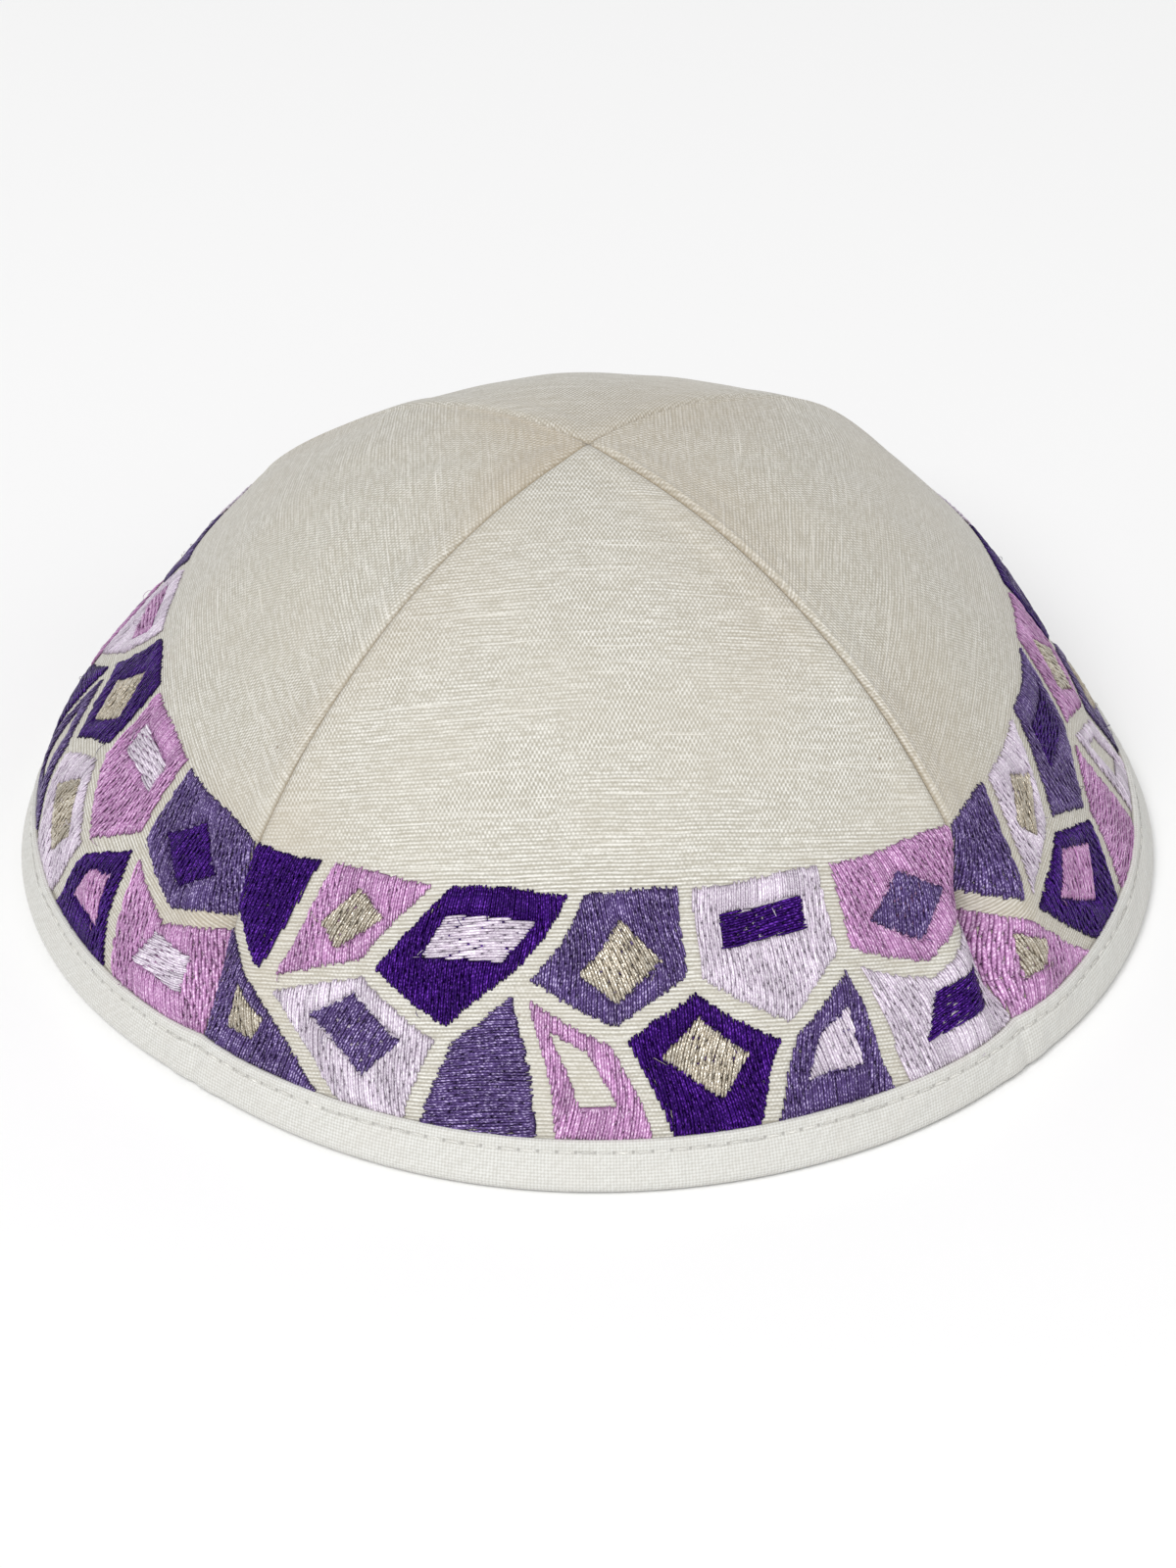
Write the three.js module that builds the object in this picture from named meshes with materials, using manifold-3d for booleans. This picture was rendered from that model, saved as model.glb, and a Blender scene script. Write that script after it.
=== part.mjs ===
// A four-gore skullcap of ribbed raw silk, standing on its rim. Each gore carries a band of embroidered
// patches above a folded bias binding. Millimetres, +Z up, the front gore faces -Y, and the origin is the
// middle of the rim on the surface that the cap stands on.
import * as THREE from "three";
import { mergeVertices } from "three/addons/utils/BufferGeometryUtils.js";
import Module from "manifold-3d";

const wasm = await Module();
wasm.setup();

// Driving sizes
const capHeight = 70; // floor to the crown point
const rimRadius = 85; // axis to the cloth's hem, in the middle of a gore
const rimPull = 1.5; // how much nearer to the axis the hem lies at a seam
const clothWall = 1.2; // silk and its backing together
const clearance = 0.3; // gap between pieces that touch on the real cap
const bindingWidth = 8; // height of the binding's outer leaf along the cloth
const bindingWall = 1; // one leaf of the binding
const bandHeight = 34.5; // embroidered band in the middle of a gore, from the binding up to its top edge
const bandDip = 4; // how much lower that top edge lies at a seam
const threadLift = 0.5; // thickness of the stitching on the cloth
const laneWidth = 2.2; // bare silk between neighbouring patches
const seamMargin = 0.5; // bare silk between a patch and the seam beside it
const seamTuck = 1.4; // how deep the stiff embroidery folds in at a seam
const tuckWidth = 5; // half width of that fold

// Worked out from the driving sizes
const goreNames = ["front", "right", "back", "left"];
const goreAngle = (2 * Math.PI) / goreNames.length;
const hemLift = bindingWall + clearance + clothWall / 2; // the hem stands inside the binding's fold
const outerLeaf = clearance + bindingWall; // outer face of the binding, from the cloth's outer face
const innerSlot = -clothWall - clearance; // the binding's slot, on the lining side
const innerLeaf = innerSlot - bindingWall; // inner face of the binding

// Facets: columns crowd towards the seams
const columns = 14;
const crownRows = 7;
const bandRows = 3;
const columnShares = Array.from({ length: columns + 1 }, (_, j) => -Math.cos((Math.PI * j) / columns));

// A meridian from the crown to the hem is one cubic curve. Its handles are shares of the radius and height:
// crownReach is the level stretch at the top, sideInset and sideRise place the handle above the hem.
function meridian({ radius, crownReach, sideInset, sideRise }) {
  return new THREE.CubicBezierCurve(
    new THREE.Vector2(0, capHeight),
    new THREE.Vector2(radius * crownReach, capHeight),
    new THREE.Vector2(radius * (1 - sideInset), hemLift + (capHeight - hemLift) * sideRise),
    new THREE.Vector2(radius, hemLift),
  );
}
const middleMeridian = meridian({ radius: rimRadius, crownReach: 0.44, sideInset: 0.23, sideRise: 0.61 });
const seamMeridian = meridian({
  radius: rimRadius - rimPull,
  crownReach: 0.44,
  sideInset: 0.09,
  sideRise: 0.62,
});
const meridianLength = middleMeridian.getLength();

// Places along a meridian, as shares of its length: 0 at the crown and 1 at the hem. In the band, v runs
// from its foot (0) to its top edge (1).
const bindingTopShare = 1 - (bindingWidth - hemLift) / meridianLength;
const bandFootShare = bindingTopShare - clearance / meridianLength;
const bindingMiddleShare = (bindingTopShare + 1) / 2;
const bandShare = (u, v) => bandFootShare - (v * (bandHeight - bandDip * u * u)) / meridianLength;

// Rows of facets at u, which every layer of the cap shares so that its clearances hold all over
const spread = (from, to, count) =>
  Array.from({ length: count + 1 }, (_, i) => from + ((to - from) * i) / count);
const tipShare = clearance / goreAngle / meridianLength; // where a gore is as narrow as the clearance
const bandRowsAt = (u) => spread(bandShare(u, 1), bandFootShare, bandRows);
const crownRowsAt = (u) => spread(tipShare, bandShare(u, 1), crownRows).slice(0, -1);
const goreRowsAt = (u) => [...crownRowsAt(u), ...bandRowsAt(u), bindingMiddleShare, 1];

// Where this cap has been pressed out of round by wear. Azimuths and half angles are in degrees, from +X
// towards +Y. share and halfShare are along the meridian, and depth is a share of the rim's radius.
const dents = [
  { name: "left_swell", azimuth: 174, halfAngle: 36, share: 0.86, halfShare: 0.09, depth: 0.032 },
  { name: "left_shoulder", azimuth: 154, halfAngle: 36, share: 0.68, halfShare: 0.12, depth: -0.02 },
  { name: "right_shoulder", azimuth: 42, halfAngle: 32, share: 0.45, halfShare: 0.2, depth: 0.02 },
  { name: "front_left_hem", azimuth: 228, halfAngle: 24, share: 1, halfShare: 0.2, depth: -0.013 },
  { name: "front_right_hem", azimuth: 312, halfAngle: 24, share: 1, halfShare: 0.2, depth: 0.011 },
];

// How far the cloth stands out from its round form at an angle about the axis
function dentAt(angle, share) {
  let total = 0;
  for (const dent of dents) {
    const turn = THREE.MathUtils.radToDeg(angle) - dent.azimuth;
    const around = (THREE.MathUtils.euclideanModulo(turn + 180, 360) - 180) / dent.halfAngle;
    const along = (share - dent.share) / dent.halfShare;
    total += dent.depth * rimRadius * Math.exp(-(around ** 2) - along ** 2);
  }
  return total;
}

// Radius and height of the cloth at u across a gore (-1 and 1 are its seams) and share along the meridian.
// The gore is creased at its seams, because u * u meets its neighbour's at an angle, and the stiff band
// folds in there.
function section(u, share) {
  const point = middleMeridian.getPointAt(share).lerp(seamMeridian.getPointAt(share), u * u);
  const fromSeam = ((1 - Math.abs(u)) * point.x * goreAngle) / 2;
  const seamTop = bandShare(1, 1);
  const downBand = THREE.MathUtils.clamp((share - seamTop) / (1 - seamTop), 0, 1);
  point.x -= seamTuck * Math.sin(Math.PI * downBand) * Math.exp(-((fromSeam / tuckWidth) ** 2));
  return point;
}

// A point at height offset above the cloth's outer face. The offset runs square to the meridian and stays
// in its upright plane, so neighbouring gores keep their gap.
function clothPoint(gore, u, share, offset = 0) {
  const step = 0.002;
  const above = section(u, Math.max(share - step, 0));
  const below = section(u, Math.min(share + step, 1));
  const along = below.sub(above).normalize();
  const point = section(u, share).add(new THREE.Vector2(-along.y, along.x).multiplyScalar(offset));
  const angle = (gore + u / 2) * goreAngle - Math.PI / 2;
  const radius = point.x + dentAt(angle, share);
  return new THREE.Vector3(radius * Math.cos(angle), radius * Math.sin(angle), point.y);
}

// The share u at which a gore stops beside its seam, where the cloth has this radius
function seamShare(radius) {
  return Math.max(0, 1 - clearance / (radius * goreAngle));
}

// The points of one gore on these rows, each row from the left seam to the right one
function gridOf(gore, rowsAt, offset) {
  return rowsAt(1).map((share, i) => {
    const edge = share === tipShare ? 0 : seamShare(section(1, share).x);
    return columnShares.map((u) => clothPoint(gore, u * edge, rowsAt(u)[i], offset));
  });
}

// A closed solid between two grids of points, each an array of rows. Rows may shrink to one point.
function slab(outer, inner) {
  const quads = [];
  const last = outer.length - 1;
  for (let i = 0; i < last; i++) {
    for (let j = 0; j < outer[0].length - 1; j++) {
      quads.push([outer[i][j], outer[i + 1][j], outer[i + 1][j + 1], outer[i][j + 1]]);
      quads.push([inner[i][j], inner[i][j + 1], inner[i + 1][j + 1], inner[i + 1][j]]);
    }
    const end = outer[0].length - 1;
    quads.push([outer[i][0], inner[i][0], inner[i + 1][0], outer[i + 1][0]]);
    quads.push([outer[i][end], outer[i + 1][end], inner[i + 1][end], inner[i][end]]);
  }
  for (let j = 0; j < outer[0].length - 1; j++) {
    quads.push([outer[0][j], outer[0][j + 1], inner[0][j + 1], inner[0][j]]);
    quads.push([outer[last][j], inner[last][j], inner[last][j + 1], outer[last][j + 1]]);
  }
  return fromQuads(quads);
}

// Quads to a geometry, leaving out the triangles whose corners coincide
function fromQuads(quads) {
  const positions = [];
  for (const [a, b, c, d] of quads) {
    for (const corners of [[a, b, c], [a, c, d]]) {
      const [p, q, r] = corners;
      const flat = p.distanceTo(q) < 1e-4 || q.distanceTo(r) < 1e-4 || r.distanceTo(p) < 1e-4;
      if (!flat) positions.push(...corners.flatMap((v) => v.toArray()));
    }
  }
  return new THREE.BufferGeometry().setAttribute("position", new THREE.Float32BufferAttribute(positions, 3));
}

// One gore: a curved silk triangle from the crown to the hem
function goreGeometry(gore) {
  const grid = (offset) => gridOf(gore, goreRowsAt, offset);
  return slab(grid(0), grid(-clothWall));
}

// The binding: one folded strip round the whole rim, a U that holds the hem in its slot. Each section is a
// closed outline, and the sections follow the columns of all four gores.
function bindingGeometry() {
  const outline = (gore, u) => {
    const leaf = (offset, shares) => shares.map((share) => clothPoint(gore, u, share, offset));
    const level = (offset, height) => clothPoint(gore, u, 1, offset).setZ(height);
    return [
      ...leaf(outerLeaf, [bindingTopShare, bindingMiddleShare, 1]),
      level(clearance, 0),
      level(innerSlot, 0),
      ...leaf(innerLeaf, [1, bindingMiddleShare, bindingTopShare]),
      ...leaf(innerSlot, [bindingTopShare, bindingMiddleShare, 1]),
      level(innerSlot, bindingWall),
      level(clearance, bindingWall),
      ...leaf(clearance, [1, bindingMiddleShare, bindingTopShare]),
    ];
  };
  const sections = goreNames.flatMap((_, gore) => columnShares.slice(0, -1).map((u) => outline(gore, u)));
  const quads = [];
  sections.forEach((here, i) => {
    const next = sections[(i + 1) % sections.length];
    here.forEach((point, k) => {
      const after = (k + 1) % here.length;
      quads.push([point, here[after], next[after], next[k]]);
    });
  });
  return fromQuads(quads);
}

// The band's design, the same on every gore. Corners run clockwise, in shares: u from seam to seam, v from
// the binding (0) to the band's top (1). thread counts along threadOrder, which starts one further along on
// each gore than on the gore before. The inlay is the patch's open middle.
const threadOrder = ["violet", "slate", "orchid", "lilac"];
const patches = [
  {
    name: "upper_1", thread: 0,
    corners: [[-1, 1], [-0.78, 1], [-0.86, 0.38], [-1, 0.6]],
  },
  {
    name: "upper_2", thread: 2,
    corners: [[-0.78, 1], [-0.46, 1], [-0.62, 0.58], [-0.86, 0.38]],
    inlay: [[-0.67, 0.9], [-0.59, 0.81], [-0.7, 0.62], [-0.75, 0.72]],
  },
  {
    name: "upper_3", thread: 0,
    corners: [[-0.46, 1], [-0.08, 1], [-0.22, 0.62], [-0.4, 0.36], [-0.62, 0.58]],
    inlay: [[-0.43, 0.86], [-0.2, 0.86], [-0.27, 0.69], [-0.47, 0.69]],
  },
  {
    name: "upper_4", thread: 1,
    corners: [[-0.08, 1], [0.22, 1], [0.2, 0.6], [0.02, 0.4], [-0.22, 0.62]],
    inlay: [[0.03, 0.87], [0.12, 0.69], [0.02, 0.54], [-0.08, 0.67]],
  },
  {
    name: "upper_5", thread: 3,
    corners: [[0.22, 1], [0.6, 1], [0.6, 0.6], [0.42, 0.34], [0.2, 0.6]],
    inlay: [[0.3, 0.87], [0.52, 0.87], [0.52, 0.74], [0.29, 0.74]],
  },
  {
    name: "upper_6", thread: 2,
    corners: [[0.6, 1], [1, 1], [1, 0.56], [0.8, 0.42], [0.6, 0.6]],
    inlay: [[0.8, 0.88], [0.91, 0.72], [0.8, 0.56], [0.69, 0.72]],
  },
  {
    name: "lower_1", thread: 1,
    corners: [[-1, 0.6], [-0.86, 0.38], [-0.66, 0], [-1, 0]],
    inlay: [[-0.92, 0.34], [-0.84, 0.22], [-0.86, 0.12], [-0.93, 0.12]],
  },
  {
    name: "lower_2", thread: 3,
    corners: [[-0.86, 0.38], [-0.62, 0.58], [-0.4, 0.36], [-0.44, 0], [-0.66, 0]],
    inlay: [[-0.63, 0.46], [-0.5, 0.32], [-0.57, 0.13], [-0.72, 0.31]],
  },
  {
    name: "lower_3", thread: 1,
    corners: [[-0.4, 0.36], [-0.22, 0.62], [-0.14, 0], [-0.44, 0]],
  },
  {
    name: "lower_4", thread: 2,
    corners: [[-0.22, 0.62], [0.02, 0.4], [0.1, 0], [-0.14, 0]],
    inlay: [[-0.14, 0.43], [-0.06, 0.36], [0, 0.13], [-0.08, 0.13]],
  },
  {
    name: "lower_5", thread: 0,
    corners: [[0.02, 0.4], [0.2, 0.6], [0.42, 0.34], [0.34, 0], [0.1, 0]],
    inlay: [[0.21, 0.46], [0.32, 0.3], [0.24, 0.13], [0.12, 0.3]],
  },
  {
    name: "lower_6", thread: 1,
    corners: [[0.42, 0.34], [0.6, 0.6], [0.66, 0], [0.34, 0]],
    inlay: [[0.49, 0.3], [0.56, 0.38], [0.58, 0.13], [0.45, 0.13]],
  },
  {
    name: "lower_7", thread: 3,
    corners: [[0.6, 0.6], [0.8, 0.42], [1, 0.56], [1, 0], [0.66, 0]],
    inlay: [[0.79, 0.32], [0.92, 0.32], [0.92, 0.14], [0.74, 0.14]],
  },
];

// Millimetres in the band laid flat: x across the gore at half the band's height, y up from the binding
const flatHalfWidth = (section(0, bandShare(0, 0.5)).x * goreAngle) / 2;
const toFlat = ([u, v]) => new THREE.Vector2(u * flatHalfWidth, v * bandHeight);

// A patch's outline in the flat band: each side moves in by half a lane, or by the margin along a seam.
// Along the band's top and foot it runs past the stitching, whose own edge ends the patch there.
// Neighbouring sides meet again where they cross.
function insetOutline(corners) {
  const sides = corners.map((corner, i) => {
    const [from, to] = [corner, corners[(i + 1) % corners.length]];
    const alongSeam = Math.abs(from[0]) === 1 && from[0] === to[0];
    const alongEdge = (from[1] === 0 || from[1] === 1) && from[1] === to[1];
    const inset = alongSeam ? seamMargin : alongEdge ? -laneWidth / 2 : laneWidth / 2;
    const start = toFlat(from);
    const direction = toFlat(to).sub(start).normalize();
    start.add(new THREE.Vector2(direction.y, -direction.x).multiplyScalar(inset));
    return { start, direction };
  });
  return sides.map((side, i) => {
    const before = sides[(i + sides.length - 1) % sides.length];
    const between = side.start.clone().sub(before.start);
    const travel = between.cross(side.direction) / before.direction.cross(side.direction);
    return before.start.clone().addScaledVector(before.direction, travel);
  });
}

// Splits the sides of an outline so that none is longer than the step, and the piece can follow the dome
function subdivide(outline, step) {
  return outline.flatMap((from, i) => {
    const to = outline[(i + 1) % outline.length];
    const count = Math.ceil(from.distanceTo(to) / step);
    return Array.from({ length: count }, (_, k) => from.clone().lerp(to, k / count));
  });
}

// A tall prism over an outline of the flat band, wrapped on the dome. It reaches well past the stitching
// above and below, and only its walls cut.
function wrappedPrism(gore, outline) {
  const reach = 3;
  const sideStep = 20;
  const prism = new THREE.ExtrudeGeometry(new THREE.Shape(subdivide(outline, sideStep)), {
    depth: 2 * reach,
    bevelEnabled: false,
  });
  const position = prism.getAttribute("position");
  for (let i = 0; i < position.count; i++) {
    const u = position.getX(i) / flatHalfWidth;
    const share = bandShare(u, position.getY(i) / bandHeight);
    position.setXYZ(i, ...clothPoint(gore, u, share, position.getZ(i) - reach).toArray());
  }
  return prism;
}

// The layer of stitching before it is cut into patches: it lies over the band, a clearance off the silk
function threadLayer(gore) {
  const grid = (offset) => gridOf(gore, bandRowsAt, offset);
  return solid(slab(grid(clearance + threadLift), grid(clearance)));
}

// A three.js geometry as a solid that can be joined and cut, and back
function solid(geometry) {
  const bare = new THREE.BufferGeometry().setAttribute("position", geometry.getAttribute("position"));
  if (geometry.index) bare.setIndex(geometry.index);
  const merged = mergeVertices(bare, 1e-4);
  return new wasm.Manifold(
    new wasm.Mesh({
      numProp: 3,
      vertProperties: merged.getAttribute("position").array,
      triVerts: new Uint32Array(merged.index.array),
    }),
  );
}

function geometryOf(body) {
  const mesh = body.getMesh();
  return new THREE.BufferGeometry()
    .setAttribute("position", new THREE.BufferAttribute(mesh.vertProperties, 3))
    .setIndex(new THREE.BufferAttribute(mesh.triVerts, 1));
}

// One embroidered patch, with its inlay left open
function patchGeometry(gore, layer, { corners, inlay }) {
  let patch = layer.intersect(solid(wrappedPrism(gore, insetOutline(corners))));
  if (inlay) patch = patch.subtract(solid(wrappedPrism(gore, inlay.map(toFlat))));
  return geometryOf(patch);
}

// Materials
const silk = new THREE.MeshStandardMaterial({ name: "silk", color: 0xd6d1c4, roughness: 0.62 });
const tape = new THREE.MeshStandardMaterial({ name: "binding_tape", color: 0xe6e4dc, roughness: 0.8 });
const threads = {
  violet: new THREE.MeshStandardMaterial({ name: "thread_violet", color: 0x3c1272, roughness: 0.42 }),
  slate: new THREE.MeshStandardMaterial({ name: "thread_slate", color: 0x5a4a82, roughness: 0.42 }),
  orchid: new THREE.MeshStandardMaterial({ name: "thread_orchid", color: 0xb878bc, roughness: 0.42 }),
  lilac: new THREE.MeshStandardMaterial({ name: "thread_lilac", color: 0xcdbce0, roughness: 0.42 }),
};

// Assembly
function piece(name, geometry, material) {
  geometry.computeVertexNormals();
  const mesh = new THREE.Mesh(geometry, material);
  mesh.name = name;
  return mesh;
}

const cap = new THREE.Group();
cap.name = "kippah";
cap.add(piece("rim_binding", bindingGeometry(), tape));
goreNames.forEach((goreName, gore) => {
  cap.add(piece(`${goreName}_gore`, goreGeometry(gore), silk));
  const layer = threadLayer(gore);
  for (const patch of patches) {
    const step = (patch.thread + gore) % threadOrder.length;
    const thread = threads[threadOrder[step]];
    cap.add(piece(`${goreName}_patch_${patch.name}`, patchGeometry(gore, layer, patch), thread));
  }
});

export default cap;
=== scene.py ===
import bpy
import numpy as np
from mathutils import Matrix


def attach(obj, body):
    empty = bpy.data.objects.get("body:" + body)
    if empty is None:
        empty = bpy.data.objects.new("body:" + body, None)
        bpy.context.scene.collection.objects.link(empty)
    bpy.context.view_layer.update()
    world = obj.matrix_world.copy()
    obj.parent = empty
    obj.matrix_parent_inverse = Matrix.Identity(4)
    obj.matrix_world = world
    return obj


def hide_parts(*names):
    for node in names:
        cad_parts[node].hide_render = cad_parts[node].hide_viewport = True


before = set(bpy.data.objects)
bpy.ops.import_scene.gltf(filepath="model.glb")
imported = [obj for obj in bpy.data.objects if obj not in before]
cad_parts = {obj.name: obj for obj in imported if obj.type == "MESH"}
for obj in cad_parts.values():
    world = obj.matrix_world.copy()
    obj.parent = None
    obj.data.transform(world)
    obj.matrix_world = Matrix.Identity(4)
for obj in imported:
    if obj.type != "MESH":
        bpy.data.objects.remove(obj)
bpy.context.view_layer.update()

# The four gores
# Four panels of cream raw silk, backed and sewn together along seams that cross at the crown. The
# seam allowances are pressed open inside, and the lower hem runs into the binding. Lengths are in
# millimetres up to the point where a mesh is made.

MM = 0.001
GORES = ["front", "right", "back", "left"]
GORE_ANGLE = np.pi / 2
CAP_HEIGHT = 70.0
RIM_RADIUS = 85.0
SEAM_PULL = 1.5
CLOTH_WALL = 1.2
HEM_HEIGHT = 1.9
BINDING_DEPTH = 8.0
BAND_GAP = 0.3
BAND_HEIGHT = 34.5
BAND_DIP = 4.0
TUCK_DEPTH = 1.4
TUCK_WIDTH = 5.0
# Handles of the meridian: reach of the level crown, lean of the side and rise of the side
MIDDLE_HANDLES = (0.44, 0.23, 0.61)
SEAM_HANDLES = (0.44, 0.09, 0.62)
# Swells and hollows of the soft shape: azimuth and half angle in degrees, share of the way down,
# half share, depth as a share of the rim's radius
DENTS = [
    (174, 36, 0.86, 0.09, 0.032),
    (154, 36, 0.68, 0.12, -0.020),
    (42, 32, 0.45, 0.20, 0.020),
    (228, 24, 1.00, 0.20, -0.013),
    (312, 24, 1.00, 0.20, 0.011),
    (138, 30, 0.67, 0.09, 0.020),
    (119, 30, 0.45, 0.10, -0.021),
    (37, 30, 0.68, 0.09, 0.010),
]
# Folds where the band's seams draw in: azimuth of the seam, depth, width, rise of the cloth beside it,
# and how far the gore that starts at the seam stands over its neighbour
SEAM_FOLDS = [
    (-45, 6.4, 3.0, 1.0, -0.6),
    (45, 1.0, 3.0, 0.2, 0.0),
    (135, 0.9, 3.0, 0.2, 0.0),
    (225, 1.5, 2.4, 0.8, 1.5),
]
# Reach of a fold to both sides in degrees, its fade above the tape, and the width of the step
FOLD_HALF_ANGLE = 22
FOLD_FADE = 7.0
STEP_WIDTH = 3.2
# Seams whose allowance shows through as a narrow ridge: azimuth, and the gore that carries it
SEAM_RIDGES = [(-45, 1), (45, 1), (135, 3)]
RIDGE_PLACE = 0.75
RIDGE_WIDTH = 0.5
RIDGE_RISE = 0.34
# Slack in the cloth: waves round the cap, waves down it, phase and height. It grows over a distance from
# the crown and over a share of the way up from the hem, and less of it shows above the band.
SLACK_WAVES = [
    (3, 5.0, 0.4, 0.22),
    (5, -7.0, 2.1, 0.20),
    (8, 11.0, 4.0, 0.15),
    (11, -16.0, 1.2, 0.12),
    (17, 21.0, 5.2, 0.09),
    (23, -30.0, 3.3, 0.07),
]
SLACK_FROM_CROWN = 25.0
SLACK_FROM_HEM = 0.08
SLACK_ABOVE_BAND = 0.4
ALLOWANCE_WIDTH = 4.2
ALLOWANCE_RISE = 0.28
ALLOWANCE_EDGE = 0.35
ALLOWANCE_START = 1.2
EDGE_TURN = 0.4
EDGE_TURN_WIDTH = 0.45
EDGE_TURN_FROM_CROWN = 6.0
TIP_DEPTH = 0.1
SLOPE_STEP = 0.002


def bell(distance, width):
    """A bell curve of the distance, 1 at its middle."""
    return np.exp(-((distance / width) ** 2))


def degrees_from(azimuth, angle):
    """Degrees from an azimuth, -180 to 180, of an angle in radians."""
    return (np.degrees(angle) - azimuth + 180) % 360 - 180


def run_along(line):
    """Distance of each point of a line from its start."""
    return np.concatenate([[0], np.cumsum(np.linalg.norm(np.diff(line, axis=0), axis=1))])


def meridian(radius, handles):
    """A cubic Bezier curve from the crown to the hem: share of its length, radius, height and length."""
    reach, lean, rise = handles
    corners = np.array(
        [
            [0, CAP_HEIGHT],
            [radius * reach, CAP_HEIGHT],
            [radius * (1 - lean), HEM_HEIGHT + (CAP_HEIGHT - HEM_HEIGHT) * rise],
            [radius, HEM_HEIGHT],
        ]
    )
    t = np.linspace(0, 1, 2001)[:, None]
    weights = [(1 - t) ** 3, 3 * t * (1 - t) ** 2, 3 * t * t * (1 - t), t**3]
    curve = sum(weight * corner for weight, corner in zip(weights, corners))
    run = run_along(curve)
    return run / run[-1], curve[:, 0], curve[:, 1], run[-1]


MIDDLE_CURVE = meridian(RIM_RADIUS, MIDDLE_HANDLES)
SEAM_CURVE = meridian(RIM_RADIUS - SEAM_PULL, SEAM_HANDLES)
GORE_LENGTH = MIDDLE_CURVE[3]
BINDING_TOP = 1 - (BINDING_DEPTH - HEM_HEIGHT) / GORE_LENGTH
BAND_FOOT = BINDING_TOP - BAND_GAP / GORE_LENGTH


def band_share(u, rise):
    """Share of the way down at a rise of 0 (foot) to 1 (top) up the band, which is lower beside the seams."""
    return BAND_FOOT - rise * (BAND_HEIGHT - BAND_DIP * u * u) / GORE_LENGTH


TUCK_TOP = band_share(1.0, 1.0)


def seam_distance(u, radius):
    """Arc length in millimetres from the nearer seam."""
    return (1 - np.abs(u)) * radius * GORE_ANGLE / 2


def in_band(share):
    """0 above the band and at the hem, 1 in the middle of the band, along half a sine wave."""
    return np.sin(np.pi * np.clip((share - TUCK_TOP) / (1 - TUCK_TOP), 0, 1))


def section(u, share):
    """Radius and height of the round cap: both curves mixed by u squared, less the tuck."""
    mix = u * u
    radius, height = (
        np.interp(share, MIDDLE_CURVE[0], MIDDLE_CURVE[k]) * (1 - mix)
        + np.interp(share, SEAM_CURVE[0], SEAM_CURVE[k]) * mix
        for k in (1, 2)
    )
    tuck = TUCK_DEPTH * in_band(share) * bell(seam_distance(u, radius), TUCK_WIDTH)
    return radius - tuck, height


def cloth_lift(angle, u, share, radius):
    """Height of the cloth over the round cap: slack, the ridge of the allowance, and folds at the seams."""
    from_seam = seam_distance(u, radius)
    steady = np.clip(radius / SLACK_FROM_CROWN, 0, 1) * np.clip((1 - share) / SLACK_FROM_HEM, 0, 1)
    steady = steady * (SLACK_ABOVE_BAND + (1 - SLACK_ABOVE_BAND) * in_band(share))
    lift = sum(
        height * np.sin(round_cap * angle + down * share + phase)
        for round_cap, down, phase, height in SLACK_WAVES
    )
    lift = lift * steady
    ridge = 1 / (1 + np.exp((from_seam - ALLOWANCE_WIDTH) / ALLOWANCE_EDGE))
    ridge = ALLOWANCE_RISE * ridge * np.clip(from_seam / ALLOWANCE_START, 0, 1)
    lift = lift + ridge * (1 - 0.6 * in_band(share))
    for azimuth, depth, width, rise, step in SEAM_FOLDS:
        here = np.abs(degrees_from(azimuth, angle)) < FOLD_HALF_ANGLE
        fold = -depth * np.exp(-((from_seam / width) ** 1.4))
        beside = rise * bell(from_seam - 2.6 * width, 1.3 * width)
        stand = np.where(u < 0, 0.5, -0.5) * step * bell(from_seam, STEP_WIDTH)
        above_tape = np.clip((BAND_FOOT + 0.02 - share) * GORE_LENGTH / FOLD_FADE, 0, 1)
        lift = lift + here * in_band(share) ** 1.7 * above_tape * (fold + beside + stand)
    return lift


def seam_ridge(gore, u, share, radius):
    """0 to 1 on the narrow ridge beside some of the upper seams, which ends at the band."""
    across = bell(seam_distance(u, radius) - RIDGE_PLACE, RIDGE_WIDTH)
    fade = np.clip((TUCK_TOP - share) / 0.04, 0, 1) * np.clip(radius / 4, 0, 1)
    carried = 0
    for azimuth, carrier in SEAM_RIDGES:
        side = azimuth / 90 - carrier + 1
        carried = carried + (gore == carrier) * (u * side > 0)
    return across * fade * carried


def cloth_point(gore, u, share, lift=0.0):
    """Point on the cloth's outer face, in millimetres. The section's point moves along the meridian's normal
    by the lift, and outwards by each dent's bell curve. u runs from -1 to 1 across the gore."""
    u, share, lift = np.broadcast_arrays(*(np.asarray(x, float) for x in (u, share, lift)))
    angle = (gore + u / 2) * GORE_ANGLE - GORE_ANGLE
    before = section(u, np.maximum(share - SLOPE_STEP, 0))
    after = section(u, np.minimum(share + SLOPE_STEP, 1))
    out, down = after[0] - before[0], after[1] - before[1]
    run = np.hypot(out, down)
    radius, height = section(u, share)
    lift = lift + cloth_lift(angle, u, share, radius) + RIDGE_RISE * seam_ridge(gore, u, share, radius)
    radius, height = radius - down / run * lift, height + out / run * lift
    for azimuth, half_angle, at, half_share, depth in DENTS:
        turn = degrees_from(azimuth, angle) / half_angle
        radius = radius + depth * RIM_RADIUS * np.exp(-(turn**2) - ((share - at) / half_share) ** 2)
    return np.stack([radius * np.cos(angle), radius * np.sin(angle), height], -1)


def add_object(name, data):
    """A new object in the scene."""
    made = bpy.data.objects.new(name, data)
    bpy.context.scene.collection.objects.link(made)
    return made


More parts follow.
